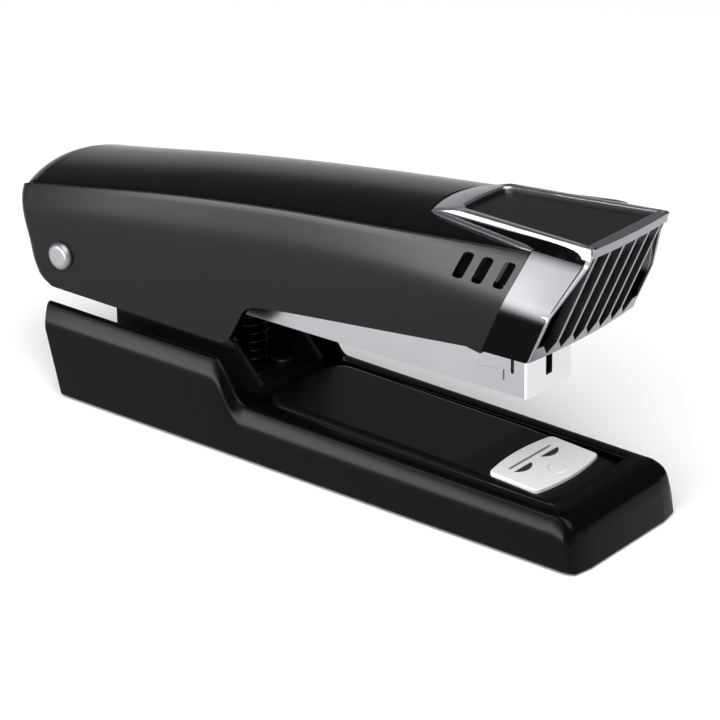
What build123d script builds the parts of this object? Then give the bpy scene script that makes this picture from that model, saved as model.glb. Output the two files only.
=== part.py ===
from build123d import *
import os
from math import cos, radians, sin, tan

# Desk stapler with a nickel-plated magazine, a moulded cover and a chromed nose.
# Frame: millimetres, +Z up, +X from the hinge towards the nose, origin on the desk
# under the middle of the base.

os.makedirs("parts", exist_ok=True)

# ---------------------------------------------------------------- driving sizes
base_length = 140.0          # along the desk, between the two ends of the underside
base_half_rear = 20.0
base_half_front = 18.8
rim_height = 21.5            # side walls beside the hinge
low_rim_height = 12.4        # rim round the deck
hinge_x = -72.1
hinge_z = 32.9
arm_pitch = 0.93             # the magazine points up by this angle at rest
magazine_reach = 122.3       # hinge to the front of the magazine
cover_wall = 1.8
cover_half_rear = 16.0
cover_half_nose = 18.5
steel = 0.8                  # sheet used for the magazine
run_gap = 0.05               # radial clearance of a running fit
side_gap = 0.25              # between flat faces that pass each other

# Staples of the common 24/6 size.
staple_crown = 12.85
staple_leg = 6.0
staple_wire = 0.63
staple_depth = 0.5
strip_length = 52.0

# ---------------------------------------------------------------- derived frames
pin_radius = 2.5
pin_bore = pin_radius + run_gap
tilt = radians(arm_pitch)
centre_plane = Plane.XZ
arm_plane = Plane(
    origin=(hinge_x, 0, hinge_z), x_dir=(cos(tilt), 0, sin(tilt)), z_dir=(0, -1, 0)
)


def across_arm(along, height=0.0):
    """Plane square to the magazine, at a distance along it from the hinge."""
    origin = (
        hinge_x + along * cos(tilt) - height * sin(tilt),
        0,
        hinge_z + along * sin(tilt) + height * cos(tilt),
    )
    return Plane(origin=origin, x_dir=(0, 1, 0), z_dir=(cos(tilt), 0, sin(tilt)))


def along_arm(height):
    """Plane parallel to the magazine's top, at a height above the hinge axis."""
    origin = (hinge_x - height * sin(tilt), 0, hinge_z + height * cos(tilt))
    return Plane(origin=origin, x_dir=(cos(tilt), 0, sin(tilt)), z_dir=(-sin(tilt), 0, cos(tilt)))


def save(builder, name):
    """Labels a finished piece and writes it as one STEP file."""
    builder.part.label = name
    export_step(builder.part, "parts/" + name + ".step")


def coil(radius, wire, pitch, length, start, direction):
    """A round-wire compression spring standing on start and growing along direction."""
    path = Helix(pitch=pitch, height=length, radius=radius, center=start, direction=direction)
    with BuildPart() as spring:
        with BuildLine():
            add(path)
        with BuildSketch(Plane(origin=path @ 0, z_dir=path % 0)):
            Circle(wire / 2)
        sweep(path=path)
    return spring


# ---------------------------------------------------------------- base: shell
shell_lift = 0.6             # the moulding stands clear of the desk on its rubber pad
rear_overhang = 5.2
front_bow = 2.0
rear_x = -base_length / 2
front_x = base_length / 2
step_top_x = -25.5
step_foot_x = -17.0
trough_half = cover_half_rear + 2 * side_gap
bed_height = 11.8            # floor that carries the hinge bracket
bed_rear_x = rear_x + 1.5
notch_height = 6.0           # floor of the open rear end
deck_floor = 8.5
deck_recess_half = 13.6
deck_front_x = front_x - 9.5
deck_front_bow = 1.6
pocket_half = 16.8
pocket_roof = 6.2
pocket_rear_roof = 9.4
shoulder_drop = 4.6
shoulder_inset = 1.7

step_stations = 5


def base_section(x, rim):
    """Cross-section of the base at x: leaning wall, steep shoulder and flat rim."""
    share = (x - rear_x) / base_length
    foot = base_half_rear + (base_half_front - base_half_rear) * share
    with BuildSketch(Plane(origin=(x, 0, 0), x_dir=(0, 1, 0), z_dir=(1, 0, 0))) as section:
        with BuildLine():
            Polyline(
                (-foot, shell_lift), (foot, shell_lift), (foot - 0.3, rim - shoulder_drop),
                (foot - 0.3 - shoulder_inset, rim), (-foot + 0.3 + shoulder_inset, rim),
                (-foot + 0.3, rim - shoulder_drop), (-foot, shell_lift),
            )
        make_face()
    return section.sketch


def step_rim(share):
    """Rim height along the step: a smooth fall from the hinge walls to the deck."""
    return low_rim_height + (rim_height - low_rim_height) * (1 + cos(radians(180 * share))) / 2


rear_block = [base_section(x, rim_height) for x in (rear_x - rear_overhang - 2, step_top_x)]
step_block = [
    base_section(step_top_x + (step_foot_x - step_top_x) * i / step_stations, step_rim(i / step_stations))
    for i in range(step_stations + 1)
]
front_block = [base_section(step_foot_x, low_rim_height), base_section(front_x + 6, low_rim_height - 0.6)]

with BuildPart() as base_shell:
    loft(sections=rear_block, ruled=True)
    loft(sections=step_block)
    loft(sections=front_block, ruled=True)
    with BuildSketch(Plane.XY):
        with BuildLine():
            Polyline(
                (front_x, -base_half_front - 2), (rear_x - 20, -base_half_rear - 2),
                (rear_x - 20, base_half_rear + 2), (front_x, base_half_front + 2),
            )
            ThreePointArc(
                (front_x, base_half_front + 2), (front_x + front_bow, 0), (front_x, -base_half_front - 2)
            )
        make_face()
    extrude(amount=rim_height + 5, mode=Mode.INTERSECT)
    with BuildSketch(centre_plane):
        with BuildLine():
            Polyline(
                (rear_x, 0), (rear_x - 0.9 * rear_overhang, 0.74 * rim_height),
                (rear_x - rear_overhang, rim_height - 1.0), (rear_x - rear_overhang, rim_height + 5),
                (front_x - 8.0, rim_height + 5), (front_x - 4.5, low_rim_height - 0.4),
            )
            ThreePointArc(
                (front_x - 4.5, low_rim_height - 0.4), (front_x - 0.4, low_rim_height - 2.2),
                (front_x + 1.5, low_rim_height - 6.0),
            )
            Polyline(
                (front_x + 1.5, low_rim_height - 6.0), (front_x + front_bow + 1.0, 0), (rear_x, 0),
            )
        make_face()
    extrude(amount=base_half_rear + 5, both=True, mode=Mode.INTERSECT)
    corners = base_shell.edges().filter_by(lambda e: e.center().X > front_x - 2 and abs(e.center().Y) > 15)
    corners = corners.filter_by(lambda e: abs(e.tangent_at(0.5).Z) > 0.7)
    fillet(corners.sort_by(Axis.Z)[:2], radius=3.5)
    # Trough between the rims, the open rear end and the recess for the deck.
    with BuildSketch(centre_plane):
        with BuildLine():
            Polyline(
                (rear_x - 10, notch_height), (bed_rear_x, notch_height),
                (bed_rear_x, bed_height), (step_foot_x + 3.0, bed_height),
                (step_foot_x + 3.0, rim_height + 5), (rear_x - 10, rim_height + 5),
                (rear_x - 10, notch_height),
            )
        make_face()
    extrude(amount=trough_half, both=True, mode=Mode.SUBTRACT)
    with BuildSketch(Plane.XY.offset(deck_floor)):
        with BuildLine():
            Polyline(
                (deck_front_x, -deck_recess_half), (step_foot_x - 0.5, -deck_recess_half),
                (step_foot_x - 0.5, deck_recess_half), (deck_front_x, deck_recess_half),
            )
            ThreePointArc(
                (deck_front_x, deck_recess_half), (deck_front_x + deck_front_bow, 0),
                (deck_front_x, -deck_recess_half),
            )
        make_face()
    extrude(amount=20, mode=Mode.SUBTRACT)
    # Hollow underside.
    with BuildSketch(centre_plane):
        with BuildLine():
            Polyline(
                (rear_x + 4.5, 0), (rear_x + 4.5, pocket_rear_roof),
                (step_foot_x - 4, pocket_rear_roof), (step_foot_x - 2, pocket_roof),
                (front_x - 6, pocket_roof), (front_x - 6, 0), (rear_x + 4.5, 0),
            )
        make_face()
    extrude(amount=pocket_half, both=True, mode=Mode.SUBTRACT)

# ---------------------------------------------------------------- anvil frame
anvil_x = hinge_x + magazine_reach - 0.7
anvil_length = 11.9          # along the base
anvil_half = 11.0
anvil_bow = 1.3
anvil_thick = 0.9
deck_slope = 3.2
deck_break_x = 36.0
deck_rear_height = 13.0
deck_break_height = 12.3
slope = radians(deck_slope)
anvil_seat = deck_break_height - (anvil_x - deck_break_x) * tan(slope)
anvil_plane = Plane(
    origin=(anvil_x, 0, anvil_seat), x_dir=(cos(slope), 0, -sin(slope)), z_dir=(sin(slope), 0, cos(slope))
)
post_radius = 2.1
post_bore = post_radius + run_gap
button_radius = 5.0
button_bore = button_radius + 0.4
button_thick = 1.6
button_depth = 11.1          # from the anvil seat down to the button's lower face
spring_bore = 4.0

# ---------------------------------------------------------------- base: bosses and screws
boss_radius = 3.2
screw_radius = 1.0
boss_rear_x = rear_x + 12.0
boss_front_x = front_x - 40.0
boss_half = 10.5
boss_places = [(x, y) for x in (boss_rear_x, boss_front_x) for y in (-boss_half, boss_half)]
plate_thick = 1.0
pad_thick = 1.6
plate_top = pad_thick + plate_thick
screw_length = 4.0

with base_shell:
    with BuildSketch(Plane.XY.offset(plate_top)):
        with Locations(*boss_places):
            Circle(boss_radius)
    extrude(amount=pocket_roof - plate_top + 0.4)
    with BuildSketch(Plane.XY.offset(plate_top)):
        with Locations(*boss_places[:2]):
            Circle(boss_radius)
    extrude(amount=pocket_rear_roof - plate_top + 0.4)
    with BuildSketch(Plane.XY.offset(plate_top)):
        with Locations(*boss_places):
            Circle(screw_radius)
    extrude(amount=screw_length, mode=Mode.SUBTRACT)
    with BuildSketch(anvil_plane):
        Circle(post_bore + 0.4)
    extrude(amount=-20, mode=Mode.SUBTRACT)
save(base_shell, "base_shell")

# ---------------------------------------------------------------- base: deck
deck_half = 12.9
deck_rear_x = step_foot_x
deck_gap = deck_recess_half - deck_half

with BuildPart() as base_deck:
    with BuildSketch(Plane.XY.offset(deck_floor)) as outline:
        with BuildLine():
            Polyline(
                (deck_front_x - deck_gap, -deck_half), (deck_rear_x, -deck_half),
                (deck_rear_x, deck_half), (deck_front_x - deck_gap, deck_half),
            )
            ThreePointArc(
                (deck_front_x - deck_gap, deck_half), (deck_front_x - deck_gap + deck_front_bow, 0),
                (deck_front_x - deck_gap, -deck_half),
            )
        make_face()
        fillet(outline.vertices().sort_by(Axis.X)[:2], radius=6.0)
        fillet(outline.vertices().sort_by(Axis.X)[-2:], radius=2.5)
    extrude(amount=10)
    with BuildSketch(centre_plane):
        with BuildLine():
            Polyline(
                (deck_rear_x - 5, deck_floor), (deck_rear_x - 5, deck_rear_height),
                (deck_break_x, deck_break_height),
                (deck_front_x + 10, deck_break_height - (deck_front_x + 10 - deck_break_x) * tan(slope)),
                (deck_front_x + 10, deck_floor), (deck_rear_x - 5, deck_floor),
            )
        make_face()
    extrude(amount=deck_half + 5, both=True, mode=Mode.INTERSECT)
    deck_top = base_deck.faces().filter_by(lambda f: f.normal_at().Z > 0.9)
    rim_edges = deck_top.edges().filter_by(lambda e: abs(e.center().Y) > 1 or e.center().X > deck_break_x + 2)
    rim_edges = rim_edges.filter_by(lambda e: not (abs(e.center().X - deck_break_x) < 0.5))
    rear_edges = deck_top.edges().filter_by(lambda e: e.center().X < deck_rear_x + 1)
    fillet(list(set(rim_edges + rear_edges)), radius=1.6)
    with BuildSketch(anvil_plane):
        Circle(post_bore)
    extrude(amount=-20, mode=Mode.SUBTRACT)
save(base_deck, "base_deck")

# ---------------------------------------------------------------- base: plate, pad and screws
plate_inset = 0.2
plate_rear = rear_x + 4.5 + plate_inset
plate_front = front_x - 6 - plate_inset
button_place = (anvil_x - button_depth * sin(slope), 0)

with BuildPart() as base_plate:
    with BuildSketch(Plane.XY.offset(pad_thick)):
        with Locations(((plate_rear + plate_front) / 2, 0)):
            Rectangle(plate_front - plate_rear, 2 * (pocket_half - plate_inset))
        with Locations(button_place):
            Circle(button_bore, mode=Mode.SUBTRACT)
        with Locations(*boss_places):
            Circle(screw_radius + 0.2, mode=Mode.SUBTRACT)
    extrude(amount=plate_thick)
save(base_plate, "base_plate")

head_radius = 1.9
head_thick = 0.8

with BuildPart() as base_pad:
    with BuildSketch(Plane.XY):
        with Locations(((plate_rear + plate_front) / 2, 0)):
            RectangleRounded(plate_front - plate_rear - 3, 2 * pocket_half - 4, 4)
        with Locations(button_place):
            Circle(button_bore + 0.5, mode=Mode.SUBTRACT)
    extrude(amount=pad_thick)
    with BuildSketch(Plane.XY.offset(pad_thick)):
        with Locations(*boss_places):
            Circle(head_radius + 0.2)
    extrude(amount=-head_thick - 0.1, mode=Mode.SUBTRACT)
save(base_pad, "base_pad")

with BuildPart() as base_screws:
    with BuildSketch(Plane.XY.offset(pad_thick - head_thick)):
        with Locations(*boss_places):
            Circle(head_radius)
    extrude(amount=head_thick)
    with BuildSketch(Plane.XY.offset(pad_thick)):
        with Locations(*boss_places):
            Circle(screw_radius)
    extrude(amount=plate_thick + screw_length - 0.2)
save(base_screws, "base_screws")

# ---------------------------------------------------------------- base: hinge bracket
ear_outer = 10.5
ear_steel = 1.2
bracket_front_x = -18.0
ear_front_x = -18.5
bracket_floor = bed_height + ear_steel
ear_lobe = 5.2
rivet_places = [(-52.0, -5.5), (-52.0, 5.5), (-26.0, -5.5), (-26.0, 5.5)]
rivet_radius = 1.6

with BuildPart() as hinge_bracket:
    with BuildSketch(centre_plane):
        with BuildLine():
            Polyline(
                (bed_rear_x + 7.5, bed_height), (bed_rear_x + 7.5, 25.0),
                (hinge_x + 3.5, hinge_z - 4.2), (hinge_x, hinge_z + ear_lobe),
                (hinge_x + 6, hinge_z + ear_lobe - 0.6), (-40.0, 27.0),
                (-26.5, 22.3), (ear_front_x, 14.0), (ear_front_x, bed_height),
                (bed_rear_x + 7.5, bed_height),
            )
        make_face()
        with Locations((hinge_x, hinge_z)):
            Circle(ear_lobe)
    extrude(amount=ear_outer, both=True)
    with BuildSketch(centre_plane):
        with Locations((-60, bracket_floor + 20)):
            Rectangle(200, 40)
    extrude(amount=ear_outer - ear_steel, both=True, mode=Mode.SUBTRACT)
    with BuildSketch(Plane.XY.offset(bed_height)) as floor:
        with BuildLine():
            Polyline(
                (bed_rear_x, -ear_outer + 3), (bracket_front_x, -ear_outer + 3),
                (bracket_front_x, ear_outer - 3), (bed_rear_x, ear_outer - 3),
                (bed_rear_x, -ear_outer + 3),
            )
        make_face()
        fillet(floor.vertices().sort_by(Axis.X)[:2], radius=2.0)
    extrude(amount=ear_steel)
    with BuildSketch(centre_plane):
        with Locations((hinge_x, hinge_z)):
            Circle(pin_radius + 0.01)
    extrude(amount=30, both=True, mode=Mode.SUBTRACT)
    with BuildSketch(Plane.XY.offset(bed_height)):
        with Locations(*rivet_places):
            Circle(rivet_radius + 0.02)
    extrude(amount=5, mode=Mode.SUBTRACT)
save(hinge_bracket, "hinge_bracket")

with BuildPart() as bracket_rivets:
    with BuildSketch(Plane.XY.offset(bed_height)):
        with Locations(*rivet_places):
            Circle(rivet_radius)
    extrude(amount=ear_steel)
    with BuildSketch(Plane.XY.offset(bracket_floor)):
        with Locations(*rivet_places):
            Circle(rivet_radius + 1.0)
    extrude(amount=0.9)
    fillet(bracket_rivets.edges().group_by(Axis.Z)[-1], radius=0.6)
save(bracket_rivets, "bracket_rivets")

# ---------------------------------------------------------------- hinge pin and spacers
head_reach = 1.4
pin_head_radius = 3.3
cover_face = cover_half_rear + 0.06

with BuildPart() as hinge_pin:
    with BuildSketch(centre_plane):
        with Locations((hinge_x, hinge_z)):
            Circle(pin_radius)
    extrude(amount=cover_face, both=True)
    for side_sign in (-1, 1):
        with BuildSketch(centre_plane.offset(-side_sign * cover_face)):
            with Locations((hinge_x, hinge_z)):
                Circle(pin_head_radius)
        extrude(amount=-side_sign * head_reach)
    outer_edges = hinge_pin.edges().filter_by(GeomType.CIRCLE).sort_by(Axis.Y)
    fillet([outer_edges[0], outer_edges[-1]], radius=head_reach - 0.1)
save(hinge_pin, "hinge_pin")

spacer_start = ear_outer + 0.02
spacer_end = cover_half_rear - cover_wall - side_gap

with BuildPart() as pivot_spacers:
    for side_sign in (-1, 1):
        with BuildSketch(centre_plane.offset(-side_sign * spacer_start)):
            with Locations((hinge_x, hinge_z)):
                Circle(pin_radius + 2.0)
                Circle(pin_bore, mode=Mode.SUBTRACT)
        extrude(amount=-side_sign * (spacer_end - spacer_start))
save(pivot_spacers, "pivot_spacers")

# ---------------------------------------------------------------- magazine lift spring
magazine_bottom = -5.3       # below the hinge axis, square to the magazine
lift_x = -30.0
lift_radius = 3.6
lift_wire = 0.8
lift_turns = 7
lift_top = hinge_z + (lift_x - hinge_x) * tan(tilt) + magazine_bottom
lift_length = lift_top - bracket_floor - lift_wire - 0.3

lift_spring = coil(
    lift_radius, lift_wire, lift_length / lift_turns, lift_length,
    (lift_x, 0, bracket_floor + lift_wire / 2 + 0.05), (0, 0, 1),
)
save(lift_spring, "lift_spring")

# ---------------------------------------------------------------- anvil
post_grip = 0.4              # how far the post goes into the plate
pocket_along = -2.2
pocket_near = 1.5
pocket_far = 7.8
pocket_bow = 1.7
groove_along = -3.6
dimple_along = 3.4
dimple_radius = 2.1

with BuildPart() as anvil_plate:
    with BuildSketch(anvil_plane.offset(0.05)) as plate:
        with BuildLine():
            reach = anvil_length / 2
            Polyline((-reach, anvil_half), (reach, anvil_half))
            ThreePointArc((reach, anvil_half), (reach + anvil_bow, 0), (reach, -anvil_half))
            Polyline((reach, -anvil_half), (-reach, -anvil_half))
            ThreePointArc((-reach, -anvil_half), (-reach - anvil_bow, 0), (-reach, anvil_half))
        make_face()
        fillet(plate.vertices(), radius=1.2)
    extrude(amount=anvil_thick)
    fillet(anvil_plate.faces().sort_by(Axis.Z)[-1].edges(), radius=0.3)
    # The post is riveted in from below, so its hole is blind.
    with BuildSketch(anvil_plane):
        Circle(post_radius + 0.01)
    extrude(amount=post_grip, mode=Mode.SUBTRACT)
    # Two pockets ahead of a shallow cross groove bend the staple legs inwards.
    anvil_face = anvil_plane.offset(0.05 + anvil_thick)
    for side_sign in (-1, 1):
        with BuildSketch(anvil_face):
            with BuildLine():
                near = (pocket_along, side_sign * pocket_near)
                far = (pocket_along, side_sign * pocket_far)
                crest = (pocket_along + pocket_bow, side_sign * (pocket_near + pocket_far) / 2)
                Line(near, far)
                ThreePointArc(far, crest, near)
            make_face()
        extrude(amount=-0.5, mode=Mode.SUBTRACT)
    with BuildSketch(anvil_face):
        with Locations((groove_along, 0)):
            SlotOverall(14.7, 0.7, rotation=90)
    extrude(amount=-0.25, mode=Mode.SUBTRACT)
    with BuildSketch(anvil_face):
        with Locations((dimple_along, 0)):
            Circle(dimple_radius)
            Circle(dimple_radius - 0.25, mode=Mode.SUBTRACT)
    extrude(amount=-0.15, mode=Mode.SUBTRACT)
save(anvil_plate, "anvil_plate")

button_top = -button_depth + button_thick

with BuildPart() as anvil_post:
    with BuildSketch(anvil_plane.offset(button_top - button_thick + 0.2)):
        Circle(post_radius)
    extrude(amount=button_depth - 0.2 + post_grip)
save(anvil_post, "anvil_post")

with BuildPart() as anvil_button:
    with BuildSketch(anvil_plane.offset(button_top - button_thick)):
        Circle(button_radius)
        Circle(post_bore, mode=Mode.SUBTRACT)
    extrude(amount=button_thick)
    with BuildSketch(anvil_plane.offset(button_top)):
        Circle(post_radius + 0.9)
        Circle(post_bore, mode=Mode.SUBTRACT)
    extrude(amount=0.8)
save(anvil_button, "anvil_button")

button_spring_wire = 0.5
button_spring_low = button_top + 0.05
button_spring_high = pocket_roof - anvil_seat - 0.15
button_spring = coil(
    spring_bore - 0.5, button_spring_wire,
    (button_spring_high - button_spring_low - button_spring_wire) / 3,
    button_spring_high - button_spring_low - button_spring_wire,
    (
        anvil_x + (button_spring_low + 0.25) * sin(slope), 0,
        anvil_seat + (button_spring_low + 0.25) * cos(slope),
    ),
    (sin(slope), 0, cos(slope)),
)
save(button_spring, "anvil_spring")

# ---------------------------------------------------------------- magazine
mag_half = 7.55
mag_height = 14.0
mag_top = magazine_bottom + mag_height
mag_inner = mag_half - steel
floor_top = magazine_bottom + steel
front_steel = 0.8
mag_rear = -6.0
side_front = magazine_reach - front_steel - 0.05
blade_thick = 0.6
blade_front = magazine_reach - front_steel - 0.35
strip_front = blade_front - blade_thick - 0.3
floor_front = strip_front - 0.4

rib_front = magazine_reach - 5.9
rib_rear = rib_front - 10.5
rib_foot = -2.4
rib_tall = 2.4
rib_proud = 0.3

with BuildPart() as magazine_channel:
    with BuildSketch(arm_plane) as web:
        with BuildLine():
            Polyline(
                (mag_rear, magazine_bottom), (side_front, magazine_bottom), (side_front, mag_top),
                (14.0, mag_top), (5.0, 6.0), (mag_rear, 6.0), (mag_rear, magazine_bottom),
            )
        make_face()
        fillet(web.vertices().filter_by(lambda v: v.X < hinge_x), radius=4.0)
    extrude(amount=mag_half, both=True)
    with BuildSketch(across_arm(-20, floor_top)):
        with Locations((0, 15)):
            Rectangle(2 * mag_inner, 30)
    extrude(amount=200, mode=Mode.SUBTRACT)
    with BuildSketch(across_arm(floor_front, magazine_bottom)):
        Rectangle(2 * mag_inner, 4)
    extrude(amount=10, mode=Mode.SUBTRACT)
    with BuildSketch(arm_plane):
        Circle(pin_bore)
    extrude(amount=20, both=True, mode=Mode.SUBTRACT)
    # A pressed rib, pointed at its rear, stiffens each side wall near the front.
    with BuildSketch(arm_plane):
        Polygon(
            (rib_rear, rib_foot + 0.2), (rib_front, rib_foot), (rib_front, rib_foot + rib_tall),
            (rib_rear + 1.2, rib_foot + 1.2), align=None,
        )
    extrude(amount=mag_half + rib_proud, both=True)
    with BuildSketch(across_arm(rib_rear - 2, floor_top)):
        with Locations((0, 15)):
            Rectangle(2 * mag_inner, 30)
    extrude(amount=rib_front - rib_rear + 4, mode=Mode.SUBTRACT)
    # A short relief slit in each side wall, near the front.
    with BuildSketch(arm_plane):
        with Locations((magazine_reach - 3.7, 1.2)):
            SlotOverall(3.4, 0.8, rotation=90)
    extrude(amount=20, both=True, mode=Mode.SUBTRACT)
save(magazine_channel, "magazine_channel")

slit_half = 1.1

with BuildPart() as magazine_front:
    with BuildSketch(across_arm(magazine_reach - front_steel, magazine_bottom)):
        with Locations((0, mag_height / 2)):
            Rectangle(2 * mag_half, mag_height)
        with Locations((0, mag_height / 2 + 3.2)):
            Rectangle(2 * slit_half, mag_height, mode=Mode.SUBTRACT)
    extrude(amount=front_steel)
save(magazine_front, "magazine_front")

rail_half = staple_crown / 2 - staple_wire - 0.09
leg_foot = floor_top + 0.1
crown_top = leg_foot + staple_leg + staple_depth
rail_top = crown_top - staple_depth - 0.08
rail_rear = 12.0
rail_front = strip_front - 0.3

with BuildPart() as staple_rail:
    with BuildSketch(across_arm(rail_rear)):
        with Locations((0, (rail_top + floor_top) / 2)):
            Rectangle(2 * rail_half, rail_top - floor_top)
        with Locations((0, (rail_top + floor_top) / 2 - steel)):
            Rectangle(2 * (rail_half - steel), rail_top - floor_top, mode=Mode.SUBTRACT)
    extrude(amount=rail_front - rail_rear)
save(staple_rail, "staple_rail")

with BuildPart() as staple_strip:
    with BuildSketch(across_arm(strip_front - strip_length)):
        with Locations((0, (crown_top + leg_foot) / 2)):
            Rectangle(staple_crown, crown_top - leg_foot)
        with Locations((0, (crown_top + leg_foot) / 2 - staple_depth)):
            Rectangle(staple_crown - 2 * staple_wire, crown_top - leg_foot, mode=Mode.SUBTRACT)
    extrude(amount=strip_length)
save(staple_strip, "staple_strip")

# ---------------------------------------------------------------- follower, rod and spring
rod_height = 4.9
rod_radius = 1.1
rod_bore = rod_radius + run_gap
block_front = 20.0
follower_length = 10.0
follower_front = strip_front - strip_length - 0.05
post_length = 1.2
rod_post_rear = rail_front - 4.0

with BuildPart() as spring_block:
    with BuildSketch(across_arm(rail_rear)):
        with Locations((0, (rail_top + 0.05 + mag_top - 0.6) / 2)):
            Rectangle(2 * (mag_inner - 0.05), mag_top - 0.6 - rail_top - 0.05)
        with Locations((0, rod_height)):
            Circle(rod_radius + 0.01, mode=Mode.SUBTRACT)
    extrude(amount=block_front - rail_rear)
save(spring_block, "spring_block")

with BuildPart() as follower_rod:
    with BuildSketch(across_arm(rail_rear - 1.0)):
        with Locations((0, rod_height)):
            Circle(rod_radius)
    extrude(amount=rod_post_rear + post_length + 0.8 - rail_rear + 1.0)
save(follower_rod, "follower_rod")

with BuildPart() as rod_post:
    with BuildSketch(across_arm(rod_post_rear)):
        with Locations((0, (rod_height + 2.2 + crown_top + 0.15) / 2)):
            Rectangle(2 * (mag_inner - 0.05), rod_height + 2.2 - crown_top - 0.15)
        with Locations((0, rod_height)):
            Circle(rod_radius + 0.01, mode=Mode.SUBTRACT)
    extrude(amount=post_length)
save(rod_post, "rod_post")

with BuildPart() as follower:
    with BuildSketch(across_arm(follower_front - follower_length)):
        with Locations((0, (rod_height + 2.6 + leg_foot) / 2)):
            Rectangle(staple_crown, rod_height + 2.6 - leg_foot)
        with Locations((0, (rail_top + 0.15 + leg_foot) / 2 - 1)):
            Rectangle(2 * (rail_half + 0.15), rail_top + 0.15 - leg_foot + 2, mode=Mode.SUBTRACT)
        with Locations((0, rod_height)):
            Circle(rod_bore, mode=Mode.SUBTRACT)
    extrude(amount=follower_length)
save(follower, "follower")

push_radius = 1.75
push_wire = 0.45
push_start = tuple(across_arm(block_front + push_wire / 2 + 0.05, rod_height).origin)
push_length = follower_front - follower_length - block_front - push_wire - 0.1
push_spring = coil(
    push_radius, push_wire, push_length / 16, push_length, push_start, (cos(tilt), 0, sin(tilt))
)
save(push_spring, "follower_spring")

# ---------------------------------------------------------------- cover form
cover_rear_x = -84.6         # outer face of the cover's rear end at its sides
rear_bow = 3.6
rear_turn_z = 42.0
# Height and backward lean in degrees of each band of the rear wall, from the bottom up.
rear_bands = [(rear_turn_z - 2.0, 15.5), (rear_turn_z, 4.0), (rear_turn_z + 2.5, -7.3)]
skirt_bottom = 24.5
form_floor = 18.0            # the form starts below the skirt and is cut back to its outline


def form_section(x, wall_half, wall_top, crest_half, crest, crown, inset):
    """Cross-section of the cover at x: straight walls, a steep shoulder and a crowned top."""
    half = wall_half - inset
    top = crest - inset
    edge = crest_half - inset
    with BuildSketch(Plane(origin=(x, 0, 0), x_dir=(0, 1, 0), z_dir=(1, 0, 0))) as section:
        with BuildLine():
            Polyline(
                (-edge, top), (-half, wall_top), (-half, form_floor), (half, form_floor),
                (half, wall_top), (edge, top),
            )
            ThreePointArc((edge, top), (0, top + crown), (-edge, top))
        make_face()
    return section.sketch


# x, wall half width, top of the wall, crest half width, crest height, crown rise
rear_stations = [
    (-92.0, cover_half_rear, 40.0, cover_half_rear - 1.0, 46.2, 3.0),
    (-70.0, cover_half_rear, 43.2, cover_half_rear - 1.0, 50.0, 3.0),
    (-40.0, cover_half_rear, 47.1, cover_half_rear - 0.9, 55.1, 3.0),
    (-10.0, cover_half_rear + 0.2, 50.8, cover_half_rear - 0.6, 59.2, 3.0),
    (20.0, cover_half_nose - 1.3, 53.5, cover_half_nose - 2.5, 62.5, 3.0),
    (56.0, cover_half_nose, 54.4, cover_half_nose - 2.5, 66.2, 2.2),
]
nose_stations = [
    rear_stations[-1],
    (66.0, cover_half_nose, 54.2, cover_half_nose - 5.6, 64.8, 3.2),
    (74.0, cover_half_nose, 54.2, cover_half_nose - 6.4, 64.9, 3.6),
]
nose_bottom_x = 57.9
nose_lean = 0.43             # forward travel per unit height of the nose's face


def form_outline(inset):
    """Side outline of the cover: rounded rear top, deep skirt at the hinge, leaning nose."""
    with BuildSketch(centre_plane) as outline:
        with BuildLine():
            Polyline(
                (-74.0, 52.9 - inset), (-74.0, 80.0), (nose_bottom_x + nose_lean * 36.5 - inset, 80.0),
                (nose_bottom_x - inset, 43.5), (nose_bottom_x - 1.5 - inset, 42.9 - inset),
                (47.4, 42.2 - inset), (42.5, 42.9 - inset), (-6.2, 36.7 - inset), (-15.0, 35.3 - inset),
                (-18.5 + inset, 33.6 - inset), (-22.6 + inset, 25.6), (-24.8 + inset, skirt_bottom - inset),
                (-77.0, skirt_bottom - inset),
            )
            ThreePointArc(
                (-77.0, skirt_bottom - inset), (-79.7 + 0.8 * inset, 25.7 - 0.6 * inset),
                (-81.0 + inset, 28.2),
            )
            Line((-81.0 + inset, 28.2), (-90.2 + inset, 42.0))
            ThreePointArc((-90.2 + inset, 42.0), (-86.6 + inset, 49.6 - inset), (-74.0, 52.9 - inset))
        make_face()
    return outline.sketch


def rear_limit(inset):
    """Everything ahead of the cover's rear wall, which bows back and leans less going up."""
    with BuildPart() as limit:
        for band_z, lean_angle in rear_bands:
            lean = radians(lean_angle)
            band_x = cover_rear_x + inset - (band_z - rear_turn_z) * tan(radians(rear_bands[1][1]))
            rear_plane = Plane(
                origin=(band_x, 0, band_z), x_dir=(cos(lean), 0, sin(lean)), z_dir=(-sin(lean), 0, cos(lean))
            )
            with BuildSketch(rear_plane):
                with BuildLine():
                    Polyline((2.0, -20.0), (220.0, -20.0), (220.0, 20.0), (2.0, 20.0))
                    ThreePointArc((2.0, 20.0), (-rear_bow, 0), (2.0, -20.0))
                make_face()
            first_band = band_z == rear_bands[0][0]
            extrude(amount=80, both=True, mode=Mode.ADD if first_band else Mode.INTERSECT)
    return limit.part


def form_solid(inset):
    """The closed outer form of the cover and nose, shrunk all round by inset."""
    with BuildPart() as form:
        loft(sections=[form_section(*station, inset) for station in rear_stations])
        loft(sections=[form_section(*station, inset) for station in nose_stations], ruled=True)
        extrude(to_extrude=form_outline(inset), amount=40, both=True, mode=Mode.INTERSECT)
        add(rear_limit(inset), mode=Mode.INTERSECT)
    return form.part


outer_form = form_solid(0)
inner_form = form_solid(cover_wall)

# ---------------------------------------------------------------- nose zone shared by cover and trim
wedge_rear_x = 26.5
wedge_rear_half = 8.8
seam_top = (56.9, 67.0)
seam_foot = (46.5, 43.0)
seam_gap = 0.1
trim_floor = 62.9


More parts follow.
